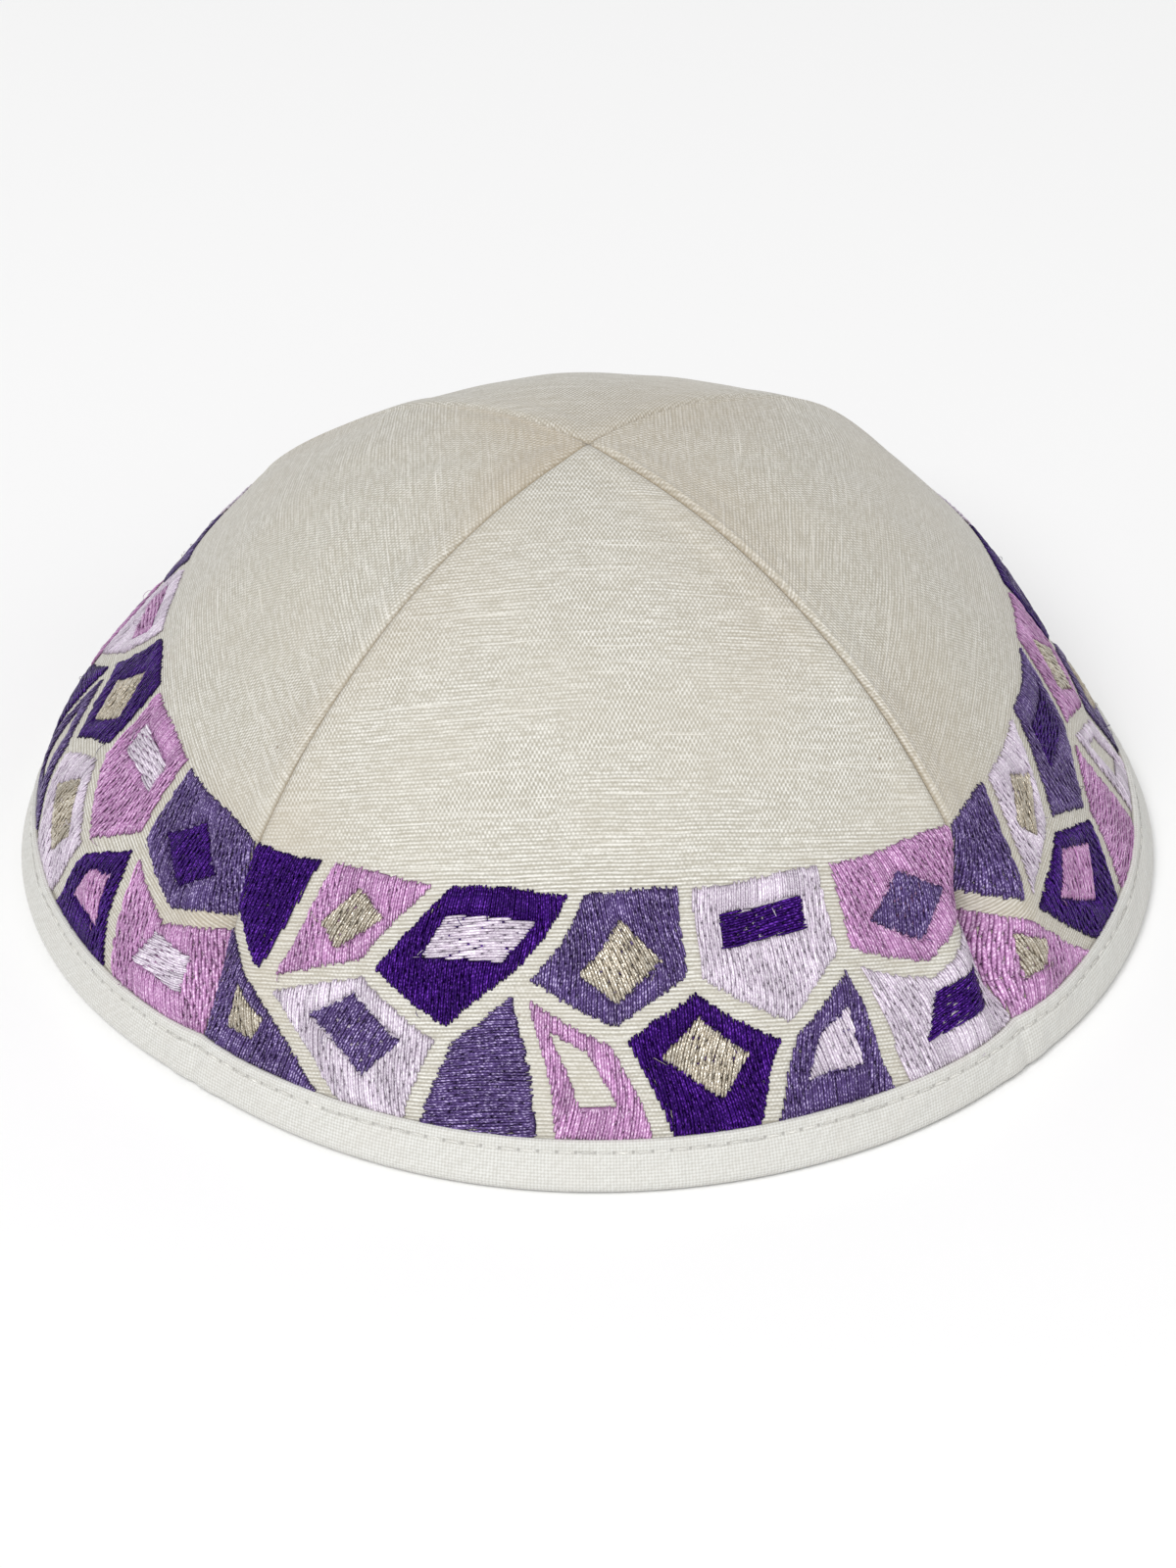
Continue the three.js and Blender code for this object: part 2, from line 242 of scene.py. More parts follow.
def mesh_piece(name, points, faces, places, material):
    """A mesh object from points in millimetres, faces as index lists and, by the name of each UV map, one
    place for each point or for each corner of a face."""
    mesh = bpy.data.meshes.new(name)
    mesh.from_pydata((points * MM).tolist(), [], faces)
    mesh.polygons.foreach_set("use_smooth", np.ones(len(mesh.polygons), bool))
    corner_point = np.empty(len(mesh.loops), np.int32)
    mesh.loops.foreach_get("vertex_index", corner_point)
    for map_name, place in places.items():
        if len(place) == len(points):
            place = place[corner_point]
        layer = mesh.uv_layers.new(name=map_name)
        layer.uv.foreach_set("vector", place.astype(np.float32).ravel())
    mesh.materials.append(material)
    mesh.update()
    piece = add_object(name, mesh)
    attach(piece, "root")
    return piece


def feed(tree, socket, value):
    """Links an input socket to the output socket that it is given, or sets it to any other value."""
    if isinstance(value, bpy.types.NodeSocket):
        tree.links.new(value, socket)
    else:
        socket.default_value = value


def add_node(tree, kind, inputs=None, **settings):
    """A shader node with its inputs fed."""
    made = tree.nodes.new("ShaderNode" + kind)
    for name, value in settings.items():
        setattr(made, name, value)
    for name, value in (inputs or {}).items():
        feed(tree, made.inputs[name], value)
    return made


def maths(tree, operation, first, second=0.0, third=0.0):
    """The output of one Math node."""
    return add_node(tree, "Math", {0: first, 1: second, 2: third}, operation=operation).outputs[0]


def times(tree, first, second, plus=None):
    """A product, with a third value added if there is one."""
    if plus is None:
        return maths(tree, "MULTIPLY", first, second)
    return maths(tree, "MULTIPLY_ADD", first, second, plus)


def mapped(tree, vector, **values):
    """A vector scaled or turned by a Mapping node."""
    return add_node(tree, "Mapping", {"Vector": vector, **values}).outputs[0]


def split(tree, vector):
    """The three parts of a vector."""
    return add_node(tree, "SeparateXYZ", {0: vector}).outputs


def ramp(tree, value, low, high, to_low=0.0, to_high=1.0):
    """A value carried smoothly from one range to another and held at its ends."""
    wired = {"Value": value, "From Min": low, "From Max": high, "To Min": to_low, "To Max": to_high}
    return add_node(tree, "MapRange", wired, interpolation_type="SMOOTHSTEP").outputs[0]


def mix_colour(tree, factor, first, second, blend="MIX"):
    """The colour output of one Mix node."""
    made = add_node(tree, "Mix", data_type="RGBA", blend_type=blend)
    sockets = {"Factor_Float": factor, "A_Color": first, "B_Color": second}
    for wanted, value in sockets.items():
        feed(tree, next(s for s in made.inputs if s.identifier == wanted), value)
    return next(s for s in made.outputs if s.identifier == "Result_Color")


def layered(tree, colour, layers):
    """A colour with others laid over it in turn, each by its share."""
    for share, shade in layers:
        colour = mix_colour(tree, share, colour, shade)
    return colour


def noise(tree, vector, scale, detail=2.0, roughness=0.5):
    """The Fac output of a 3D noise."""
    wired = {"Vector": vector, "Scale": scale, "Detail": detail, "Roughness": roughness}
    return add_node(tree, "TexNoise", wired).outputs["Fac"]


def srgb(red, green, blue):
    """A colour of 0 to 255 as the linear numbers that a shader takes."""
    parts = np.array([red, green, blue]) / 255
    linear = np.where(parts <= 0.04045, parts / 12.92, ((parts + 0.055) / 1.055) ** 2.4)
    return (*linear.tolist(), 1.0)


def new_material(name, roughness, **constants):
    """A material with its Principled shader, whose plain constants are set on its own sockets."""
    material = bpy.data.materials.new(name)
    material.use_nodes = True
    shader = material.node_tree.nodes["Principled BSDF"]
    shader.inputs["Roughness"].default_value = roughness
    for socket, value in constants.items():
        shader.inputs[socket.replace("_", " ")].default_value = value
    return material, material.node_tree, shader


def dress(tree, shader, colour, strength, depth, height):
    """Gives a shader its colour and a bump, whose depth is in metres."""
    tree.links.new(colour, shader.inputs["Base Color"])
    bump = add_node(tree, "Bump", {"Strength": strength, "Distance": depth, "Height": height})
    tree.links.new(bump.outputs[0], shader.inputs["Normal"])


def make_weave_group():
    """Plain weave in millimetres: ribs are a cosine along y, and yarns cross them as a cosine along x that
    changes sign at each rib. Both wander with a slow and a quick noise. Slubs are thick ribs, from a noise
    drawn out along x, and a shorter noise of the same kind makes each rib uneven."""
    tree = bpy.data.node_groups.new("plain weave", "ShaderNodeTree")
    tree.interface.new_socket("Place", in_out="INPUT", socket_type="NodeSocketVector")
    for name in ("Rib Pitch", "Yarn Pitch", "Wander", "Crossing", "Slub Share"):
        tree.interface.new_socket(name, in_out="INPUT", socket_type="NodeSocketFloat")
    for name in ("Height", "Slub", "Uneven"):
        tree.interface.new_socket(name, in_out="OUTPUT", socket_type="NodeSocketFloat")
    source = tree.nodes.new("NodeGroupInput")
    result = tree.nodes.new("NodeGroupOutput")
    place = source.outputs["Place"]
    parts = split(tree, place)
    slow, quick = noise(tree, place, 0.07, 2.0), noise(tree, place, 0.8, 1.0)
    drift = times(tree, maths(tree, "SUBTRACT", slow, 0.5), source.outputs["Wander"])
    drift = times(tree, maths(tree, "SUBTRACT", quick, 0.5), 0.12, drift)
    x, y = maths(tree, "ADD", parts[0], drift), maths(tree, "ADD", parts[1], drift)
    rib_turn = maths(tree, "DIVIDE", y, source.outputs["Rib Pitch"])
    yarn_turn = maths(tree, "DIVIDE", x, source.outputs["Yarn Pitch"])
    half_rib = maths(tree, "COSINE", times(tree, rib_turn, np.pi))
    rib = times(tree, times(tree, half_rib, half_rib), 0.85, 0.08)
    half_yarn = maths(tree, "COSINE", times(tree, yarn_turn, np.pi))
    crossing = times(tree, times(tree, half_rib, half_yarn), 0.5, 0.5)
    drawn_out = mapped(tree, place, Scale=(0.035, 1.9, 1.0))
    slub = ramp(tree, noise(tree, drawn_out, 1.0, 3.0, 0.6), 0.57, 0.7)
    slub = times(tree, slub, source.outputs["Slub Share"])
    plain = times(tree, rib, maths(tree, "SUBTRACT", 1.0, source.outputs["Crossing"]))
    crossed = times(tree, crossing, source.outputs["Crossing"])
    fibre = noise(tree, mapped(tree, place, Scale=(2.2, 7.0, 1.0)), 1.0, 2.0)
    each_rib = mapped(tree, place, Scale=(0.3, 1.6, 1.0))
    uneven = ramp(tree, noise(tree, each_rib, 1.0, 3.0, 0.65), 0.3, 0.7)
    height = maths(tree, "ADD", plain, crossed)
    height = times(tree, height, times(tree, uneven, 0.4, 0.6))
    height = times(tree, height, ramp(tree, noise(tree, place, 1.7, 1.0), 0.3, 0.7, 0.8, 1.25))
    height = times(tree, slub, 0.5, height)
    height = times(tree, fibre, 0.35, height)
    for name, value in {"Height": height, "Slub": slub, "Uneven": uneven}.items():
        tree.links.new(value, result.inputs[name])
    return tree


weave_group = make_weave_group()


def add_weave(tree, place, **values):
    """The outputs of the weave group in a material, which gives all its values."""
    made = tree.nodes.new("ShaderNodeGroup")
    made.node_tree = weave_group
    tree.links.new(place, made.inputs["Place"])
    for name, value in values.items():
        feed(tree, made.inputs[name.replace("_", " ")], value)
    return made.outputs


SILK_MAP_MM = 240.0
# Distances from the crown between which the beads of the weave fade into ribs
BEADS_FADE = (60.0, 76.0)
silk_material, tree, shader = new_material(
    "raw silk", 0.55, Sheen_Weight=0.25, Sheen_Roughness=0.4, Specular_IOR_Level=0.35
)
silk_uv = add_node(tree, "UVMap", uv_map="OFBake").outputs[0]
silk_place = mapped(tree, silk_uv, Scale=(SILK_MAP_MM,) * 3)
above_band = ramp(tree, split(tree, silk_place)[1], *BEADS_FADE, 1.0, 0.35)
beaded = ramp(tree, noise(tree, silk_place, 0.045, 2.0), 0.4, 0.6, 0.45, 0.95)
beaded = times(tree, beaded, above_band)
weave = add_weave(
    tree, silk_place, Rib_Pitch=0.56, Yarn_Pitch=0.3, Wander=0.9, Crossing=beaded, Slub_Share=0.7
)
# Painted shade: the grooves between the ribs take the darker colour and the rib tops the lighter one
tone = ramp(tree, weave["Height"], 0.12, 1.12)
colour = mix_colour(tree, tone, srgb(158, 153, 139), srgb(241, 239, 232))
worn = ramp(tree, weave["Uneven"], 0.0, 0.8, 0.22, 0.0)
cloudy = ramp(tree, noise(tree, silk_place, 0.05, 3.0), 0.35, 0.7, 0.0, 0.3)
stain_and_shade = add_node(tree, "Attribute", attribute_name="stain_and_shade").outputs["Fac"]
seam_line = add_node(tree, "Attribute", attribute_name="seam_line").outputs["Fac"]
fleck_cell = add_node(tree, "TexVoronoi", {"Vector": silk_place, "Scale": 0.13})
fleck_draw = add_node(tree, "SeparateColor", {0: fleck_cell.outputs["Color"]}).outputs[0]
fleck_size = times(tree, fleck_draw, 0.05)
fleck = ramp(tree, maths(tree, "SUBTRACT", fleck_cell.outputs["Distance"], fleck_size), -0.03, 0.0, 1.0, 0.0)
layers = [
    (times(tree, weave["Slub"], 0.6), srgb(237, 234, 226)),
    (worn, srgb(186, 179, 161)),
    (cloudy, srgb(200, 194, 180)),
    # A real warm stain beside the seams and in clouds, with an even painted shade on the side and back gores
    (times(tree, stain_and_shade, 0.45), srgb(178, 160, 134)),
    (times(tree, seam_line, 0.6), srgb(140, 122, 90)),
    (times(tree, fleck, 0.7), srgb(120, 96, 66)),
]
colour = layered(tree, colour, layers)
dress(tree, shader, colour, 0.9, 0.00013, weave["Height"])
tree.links.new(ramp(tree, weave["Height"], 0.2, 1.1, 0.68, 0.5), shader.inputs["Roughness"])

GORE_COLUMNS = 105
GORE_ROWS = 90
EDGE_CROWDING = 0.82
LEAST_SLOPE = 0.12
SEAM_LINE_WIDTH = 0.22
STAIN_WIDTH = 14.0
# Even part of the warm stain on each gore, front, right, back and left, which is a painted shade on the gores
# that turn away from the front light
GORE_PAINTED_SHADE = (0.0, 0.18, 0.12, 0.1)


def flat_cloth(u, share, radius):
    """Place on the flat cloth, across and along the gore: each level circle becomes an arc round the tip of
    the cone that touches it, so a rib that is straight on the cloth stays so on the gore."""
    down = share * GORE_LENGTH
    slope = np.gradient(section(0.0, share)[0][:, 0], down[:, 0])
    slope = np.maximum(slope, LEAST_SLOPE)[:, None]
    turn = u * slope * GORE_ANGLE / 2
    return np.sin(turn) * radius / slope + SILK_MAP_MM / 2, down - (1 - np.cos(turn)) * radius / slope


def closed_gore(gore):
    """Points, faces and UV places of a gore: an outer and an inner grid that each start at one point at the
    crown, joined along both seams and the hem. The outer face turns in at its seams, where the columns
    crowd: an even spacing mixed with a sine's."""
    even = np.linspace(-1, 1, GORE_COLUMNS)[None, :]
    u = (1 - EDGE_CROWDING) * even + EDGE_CROWDING * np.sin(even * np.pi / 2)
    share = np.linspace(0, 1, GORE_ROWS)[1:, None]
    radius = section(u, share)[0]
    turned = -EDGE_TURN * bell(seam_distance(u, radius), EDGE_TURN_WIDTH)
    turned = turned * np.clip(radius / EDGE_TURN_FROM_CROWN, 0.1, 1)
    grids = [cloth_point(gore, u, share, turned), cloth_point(gore, u, share, -CLOTH_WALL)]
    tips = [cloth_point(gore, 0.0, 0.0, lift)[None] for lift in (-TIP_DEPTH, -CLOTH_WALL)]
    across, along = flat_cloth(u, share, radius)
    points, places, faces, rims = [], [], [], []
    for side, (grid, tip) in enumerate(zip(grids, tips)):
        start = sum(len(p) for p in points)
        points += [grid.reshape(-1, 3), tip]
        shift = side * SILK_MAP_MM / 2
        places += [
            np.stack([across, along + shift], -1).reshape(-1, 2) / SILK_MAP_MM,
            np.array([[0.5, shift / SILK_MAP_MM]]),
        ]
        index = start + np.arange(grid.shape[0] * grid.shape[1]).reshape(grid.shape[:2])
        peak = start + index.size
        quads = np.stack([index[:-1, :-1], index[1:, :-1], index[1:, 1:], index[:-1, 1:]], -1).reshape(-1, 4)
        fans = np.stack([np.full(index.shape[1] - 1, peak), index[0, :-1], index[0, 1:]], -1)
        if side:
            quads, fans = quads[:, ::-1], fans[:, ::-1]
        faces += quads.tolist() + fans.tolist()
        rims.append(np.concatenate([[peak], index[:, 0], index[-1, 1:], index[-2::-1, -1], [peak]]))
    outer, inner = rims
    faces += np.stack([outer[:-1], inner[:-1], inner[1:], outer[1:]], -1).tolist()
    return np.concatenate(points), faces, np.concatenate(places)


def silk_stain_and_shade(gore, points):
    """A warm stain of 0 to 1 beside the seams and in slow clouds, stronger on the left gore, plus an even
    painted shade on the right, back and left gores, and the thin dark line of each seam."""
    angle = np.arctan2(points[:, 1], points[:, 0])
    turn = np.abs(angle / GORE_ANGLE % 1 - 0.5) * GORE_ANGLE
    from_seam = turn * np.hypot(points[:, 0], points[:, 1])
    clouds = 0.5 + 0.5 * np.sin(points[:, 0] * 0.11 + 1.3 * np.sin(points[:, 2] * 0.17) + gore)
    beside = bell(from_seam, STAIN_WIDTH) * clouds
    # Real stain beside the seams and in clouds, plus the even painted shade of each gore
    stain_and_shade = np.clip(beside * (0.9 if gore == 3 else 0.45) + GORE_PAINTED_SHADE[gore], 0, 1)
    return stain_and_shade, bell(from_seam, SEAM_LINE_WIDTH)


for number, gore in enumerate(GORES):
    points, faces, places = closed_gore(number)
    piece = mesh_piece(f"{gore}_silk", points, faces, {"OFBake": places}, silk_material)
    for layer_name, values in zip(("stain_and_shade", "seam_line"), silk_stain_and_shade(number, points)):
        layer = piece.data.attributes.new(layer_name, "FLOAT", "POINT")
        layer.data.foreach_set("value", values.astype(np.float32))
    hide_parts(f"{gore}_gore")

# The embroidery
# Fill stitches of rayon thread in violet, slate, orchid and lilac, with inlays in another thread or in
# silver-gold metallic thread. Each stitch is one strand that arches over the silk and dives back into it.
# They lie side by side and end to end in brick order, over a few crosswise underlay stitches.

THREAD_ORDER = ["violet", "slate", "orchid", "lilac"]
LANE_WIDTH = 2.2
SEAM_MARGIN = 0.12
TOP_INSET = 0.25
FOOT_TUCK = 0.8
FLAT_HALF_WIDTH = section(0.0, band_share(0.0, 0.5))[0] * GORE_ANGLE / 2
# Name, thread, lean of the stitches in degrees, corners clockwise as (u, rise), inlay's corners, inlay's
# thread or None for bare silk, lean of the inlay's stitches. Threads count along THREAD_ORDER and start
# one further on each gore.
PATCHES = [
    ("upper_1", 0, 8, [(-1, 1), (-0.78, 1), (-0.86, 0.38), (-1, 0.6)], None, None, 0),
    ("upper_2", 2, -6, [(-0.78, 1), (-0.46, 1), (-0.62, 0.58), (-0.86, 0.38)],
     [(-0.67, 0.9), (-0.59, 0.81), (-0.7, 0.62), (-0.75, 0.72)], "metal", 20),
    ("upper_3", 0, 3, [(-0.46, 1), (-0.08, 1), (-0.22, 0.62), (-0.4, 0.36), (-0.62, 0.58)],
     [(-0.43, 0.86), (-0.2, 0.86), (-0.27, 0.69), (-0.47, 0.69)], 3, 84),
    ("upper_4", 1, -4, [(-0.08, 1), (0.22, 1), (0.2, 0.6), (0.02, 0.4), (-0.22, 0.62)],
     [(0.03, 0.87), (0.12, 0.69), (0.02, 0.54), (-0.08, 0.67)], "metal", -24),
    ("upper_5", 3, 6, [(0.22, 1), (0.6, 1), (0.6, 0.6), (0.42, 0.34), (0.2, 0.6)],
     [(0.3, 0.87), (0.52, 0.87), (0.52, 0.74), (0.29, 0.74)], 0, 88),
    ("upper_6", 2, -10, [(0.6, 1), (1, 1), (1, 0.56), (0.8, 0.42), (0.6, 0.6)],
     [(0.8, 0.88), (0.91, 0.72), (0.8, 0.56), (0.69, 0.72)], 1, 12),
    ("lower_1", 1, 12, [(-1, 0.6), (-0.86, 0.38), (-0.66, 0), (-1, 0)],
     [(-0.92, 0.34), (-0.84, 0.22), (-0.86, 0.12), (-0.93, 0.12)], "metal", -10),
    ("lower_2", 3, -8, [(-0.86, 0.38), (-0.62, 0.58), (-0.4, 0.36), (-0.44, 0), (-0.66, 0)],
     [(-0.63, 0.46), (-0.5, 0.32), (-0.57, 0.13), (-0.72, 0.31)], 1, 15),
    ("lower_3", 1, 80, [(-0.4, 0.36), (-0.22, 0.62), (-0.14, 0), (-0.44, 0)], None, None, 0),
    ("lower_4", 2, 4, [(-0.22, 0.62), (0.02, 0.4), (0.1, 0), (-0.14, 0)],
     [(-0.14, 0.43), (-0.06, 0.36), (0, 0.13), (-0.08, 0.13)], None, 0),
    ("lower_5", 0, -5, [(0.02, 0.4), (0.2, 0.6), (0.42, 0.34), (0.34, 0), (0.1, 0)],
     [(0.21, 0.46), (0.32, 0.3), (0.24, 0.13), (0.12, 0.3)], "metal", 18),
    ("lower_6", 1, 9, [(0.42, 0.34), (0.6, 0.6), (0.66, 0), (0.34, 0)],
     [(0.49, 0.3), (0.56, 0.38), (0.58, 0.13), (0.45, 0.13)], 3, -14),
    ("lower_7", 3, -12, [(0.6, 0.6), (0.8, 0.42), (1, 0.56), (1, 0), (0.66, 0)],
     [(0.79, 0.32), (0.92, 0.32), (0.92, 0.14), (0.74, 0.14)], 0, 80),
]
STRAND_PITCH = 0.37
STITCH_LENGTH = 4.6
LONGEST_STITCH = 6.8
# Half width and half thickness of a strand
STRAND_SIZES = (0.225, 0.15)
EDGE_JITTER = 0.28
SHORTEST_RUN = 0.5
# Cuts of a long run: their shift from line to line as a share of a step, room at both ends, and straying
CUT_SHIFT = 0.38
CUT_ROOM = 1.3
CUT_JITTER = 0.7
STITCH_JOIN = 0.14
INLAY_OVERLAP = 0.3
# The threads' map has a row for each tone, once for each of four lengths of strand in millimetres
TONE_ROWS = 8
SPANS = 4
SHORTEST_SPAN = 1.5
SPAN_STEP = 1.7
# Underlay: pitch, how far the outline and both ends of a stitch draw in, half width and half thickness
UNDERLAY_PITCH = 0.9
UNDERLAY_INSET = 0.7
UNDERLAY_SHORTER = 0.2
UNDERLAY_SIZES = (0.55, 0.06)
# Thread pulled loose: how many a fill, their reach each way, rise, and half width and half thickness
LOOSE_ENDS = 3
LOOSE_REACH = 2.2
LOOSE_RISE = (1.6, 3.6)
LOOSE_SIZES = (0.05, 0.04)


def inset_outline(corners):
    """A patch's outline in the flat band, in millimetres. Each side moves in by half a lane, or by less along
    a seam or the band's top, the foot moves out under the binding, and the sides meet again."""
    corners = np.array(corners, float)
    after = np.roll(corners, -1, 0)
    along_seam = (np.abs(corners[:, 0]) == 1) & (corners[:, 0] == after[:, 0])
    along_top, along_foot = ((corners[:, 1] == rise) & (after[:, 1] == rise) for rise in (1, 0))
    insets = [SEAM_MARGIN, TOP_INSET, -FOOT_TUCK]
    inset = np.select([along_seam, along_top, along_foot], insets, LANE_WIDTH / 2)
    start, end = to_flat(corners), to_flat(after)
    along = (end - start) / np.linalg.norm(end - start, axis=1)[:, None]
    start = start + np.stack([along[:, 1], -along[:, 0]], 1) * inset[:, None]
    before, back = np.roll(start, 1, 0), np.roll(along, 1, 0)
    gap = start - before
    travel = (gap[:, 0] * along[:, 1] - gap[:, 1] * along[:, 0]) / (
        back[:, 0] * along[:, 1] - back[:, 1] * along[:, 0]
    )
    return before + back * travel[:, None]


def to_flat(places):
    """(u, rise) in the band as millimetres across and up."""
    return np.asarray(places, float) * (FLAT_HALF_WIDTH, BAND_HEIGHT)


def moved_out(loop, distance):
    """An outline with each corner moved away from its middle, or towards it by a distance below zero."""
    away = loop - loop.mean(0)
    return loop + away / np.linalg.norm(away, axis=1)[:, None] * distance


# Stands in for the rise of a side that is parallel to the lines
PARALLEL = 1e-9


def fill_runs(loops, lean, pitch):
    """Parallel lines clipped to closed outlines by the even-odd rule. A line crosses each side at most once,
    and its crossings, sorted along it, pair up as runs. Gives the directions along and across the lines, and
    each run's place across, line number, start and end."""
    turn = np.radians(90 - lean)
    along, aside = np.array([np.cos(turn), np.sin(turn)]), np.array([-np.sin(turn), np.cos(turn)])
    start = np.concatenate(loops)
    end = np.concatenate([np.roll(loop, -1, 0) for loop in loops])
    a, b = start @ aside, end @ aside
    lines = np.arange(np.floor(min(a) / pitch), np.ceil(max(a) / pitch) + 1) * pitch + pitch / 3
    part = (lines[:, None] - a) / np.where(b == a, PARALLEL, b - a)
    crossing = np.where((part >= 0) & (part < 1), (start @ along) + part * ((end - start) @ along), np.inf)
    crossing = np.sort(crossing, axis=1)
    crossing = np.pad(crossing, ((0, 0), (0, crossing.shape[1] % 2)), constant_values=np.inf)
    first, last = crossing[:, 0::2], crossing[:, 1::2]
    row, column = np.nonzero(np.isfinite(last))
    return along, aside, lines[row], row, first[row, column], last[row, column]


def lay_stitches(loops, lean, draw, pitch=STRAND_PITCH, inset=0.0):
    """Stitches that fill an outline, as start and end points in the flat band. A run up to the longest stitch
    is one stitch. A longer one is cut at even steps that shift from line to line."""
    along, aside, line, row, first, last = fill_runs(loops, lean, pitch)
    stitches = []
    for at, number, low, high in zip(line, row, first + inset, last - inset):
        if high - low < SHORTEST_RUN:
            continue
        if high - low <= LONGEST_STITCH:
            cuts = np.array([low, high])
        else:
            shift = (number * CUT_SHIFT % 1) * STITCH_LENGTH
            lowest = np.ceil((low + CUT_ROOM - shift) / STITCH_LENGTH)
            steps = np.arange(lowest, (high - CUT_ROOM - shift) / STITCH_LENGTH)
            middle = steps * STITCH_LENGTH + shift + draw.uniform(-CUT_JITTER, CUT_JITTER, len(steps))
            cuts = np.concatenate([[low], middle, [high]])
        for end in (0, -1):
            cuts[end] += draw.uniform(-1, 1) * EDGE_JITTER * (inset == 0)
        lapped = np.full(len(cuts), STITCH_JOIN)
        lapped[[0, -1]] = 0
        stitches.append(np.stack([np.full(len(cuts) - 1, at), (cuts - lapped)[:-1], (cuts + lapped)[1:]], 1))
    at, low, high = np.concatenate(stitches).T
    at = at + draw.uniform(-0.03, 0.03, len(at))
    start = aside * at[:, None] + along * low[:, None]
    end = aside * (at + draw.uniform(-0.05, 0.05, len(at)))[:, None] + along * high[:, None]
    return start, end


# Along a strand: share of its length, height over the silk, share of its full width and thickness
STRAND_RINGS = np.array(
    [
        (0.0, -0.16, 0.0),
        (0.05, 0.10, 0.72),
        (0.26, 0.26, 1.0),
        (0.5, 0.29, 1.0),
        (0.74, 0.26, 1.0),
        (0.95, 0.10, 0.72),
        (1.0, -0.16, 0.0),
    ]
)
# The same with fewer rings, for hidden and short strands
PLAIN_RINGS = STRAND_RINGS[[0, 1, 3, 5, 6]]
STRAND_SIDES = 6
STRAND_BOW = 0.05
STRAND_WIDTHS = (0.88, 1.12)
# A strand widens or narrows with the cloth below it, between two limits. PROBE is the step that finds
# the cloth's directions.
SPREAD_LIMITS = (0.8, 2.4)
PROBE = 0.2


def strand_surface(place, start, end, sizes, rise, tone, draw, rings_along=STRAND_RINGS):
    """Closed strands from start to end points in a flat frame, which place(flat points, height) carries into
    space. Their rings are ellipses of the half sizes, width and thickness, and each end closes in one
    point. Gives points, faces and UV places, with u from 0 to 1 along the strand and v across it, within
    the row of the strand's tone and length."""
    half_width, half_thickness = sizes
    count = len(start)
    share, height, size = rings_along.T
    bow = draw.uniform(-STRAND_BOW, STRAND_BOW, (count, 1, 1)) * np.sin(np.pi * share)[None, :, None]
    along = end - start
    reach = np.linalg.norm(along, axis=1)
    aside = np.stack([-along[:, 1], along[:, 0]], 1) / reach[:, None]
    middle = start[:, None] + along[:, None] * share[None, :, None] + aside[:, None] * bow
    lift = height * rise[:, None] + (height > 0) * draw.uniform(-0.06, 0.06, (count, 1))
    centre = place(middle, lift)
    across = place(middle + aside[:, None] * PROBE, lift) - centre
    upward = place(middle, lift + PROBE) - centre
    spread = np.linalg.norm(across, axis=-1)
    across /= spread[..., None]
    upward /= np.linalg.norm(upward, axis=-1, keepdims=True)
    turn = 2 * np.pi * np.arange(STRAND_SIDES) / STRAND_SIDES
    width = (half_width * draw.uniform(*STRAND_WIDTHS, count))[:, None] * size
    width = width * np.clip(spread / PROBE, *SPREAD_LIMITS)
    rings = (
        centre[:, :, None]
        + across[:, :, None] * (width[:, :, None] * np.cos(turn))[..., None]
        + upward[:, :, None] * (half_thickness * size[:, None] * np.sin(turn))[..., None]
    )
    body = rings[:, 1:-1].reshape(count, -1, 3)
    points = np.concatenate([centre[:, :1], body, centre[:, -1:]], 1)
    u = np.concatenate([share[:1], np.repeat(share[1:-1], STRAND_SIDES), share[-1:]])
    v = np.pad(np.tile(0.5 + 0.42 * np.cos(turn), len(share) - 2), 1, constant_values=0.5)
    span = np.clip(np.round((reach - SHORTEST_SPAN) / SPAN_STEP), 0, SPANS - 1)
    row = span * TONE_ROWS + np.clip(np.floor(tone * TONE_ROWS), 0, TONE_ROWS - 1)
    places = np.stack(np.broadcast_arrays(u, (row[:, None] + v) / (TONE_ROWS * SPANS)), -1)
    each = points.shape[1]
    ring = 1 + np.arange((len(share) - 2) * STRAND_SIDES).reshape(-1, STRAND_SIDES)
    after = np.roll(ring, -1, 1)
    quads = np.stack([ring[:-1], ring[1:], after[1:], after[:-1]], -1).reshape(-1, 4)
    first = np.stack([np.zeros(STRAND_SIDES, int), ring[0], after[0]], -1)
    last = np.stack([np.full(STRAND_SIDES, each - 1), after[-1], ring[-1]], -1)
    base = (np.arange(count) * each)[:, None, None]
    ends = base + np.concatenate([first, last])
    faces = (base + quads).reshape(-1, 4).tolist() + ends.reshape(-1, 3).tolist()
    return points.reshape(-1, 3), faces, places.reshape(-1, 2)


def band_place(gore):
    """A function from flat millimetres in a gore's band, and a height over the silk, to the point in space.
    The sides of the patches waver by a few tenths of a millimetre, as hand-guided embroidery does."""

    def place(flat, height):
        x, y = flat[..., 0], flat[..., 1]
        sway = 0.45 * np.sin(0.31 * y + 1.7 * gore + 0.11 * x)
        dip = 0.35 * np.sin(0.27 * x + 2.3 * gore) * np.clip(y / 4, 0, 1)
        u = np.clip((x + sway * (1 - (x / FLAT_HALF_WIDTH) ** 2)) / FLAT_HALF_WIDTH, -0.9995, 0.9995)
        return cloth_point(gore, u, band_share(u, (y + dip) / BAND_HEIGHT), height)

    return place


# A ply's pitch along the thread and its slant, and the length round a strand
PLY_PITCH = 0.62
PLY_SLANT = np.radians(-17)
STRAND_GIRTH = 1.0


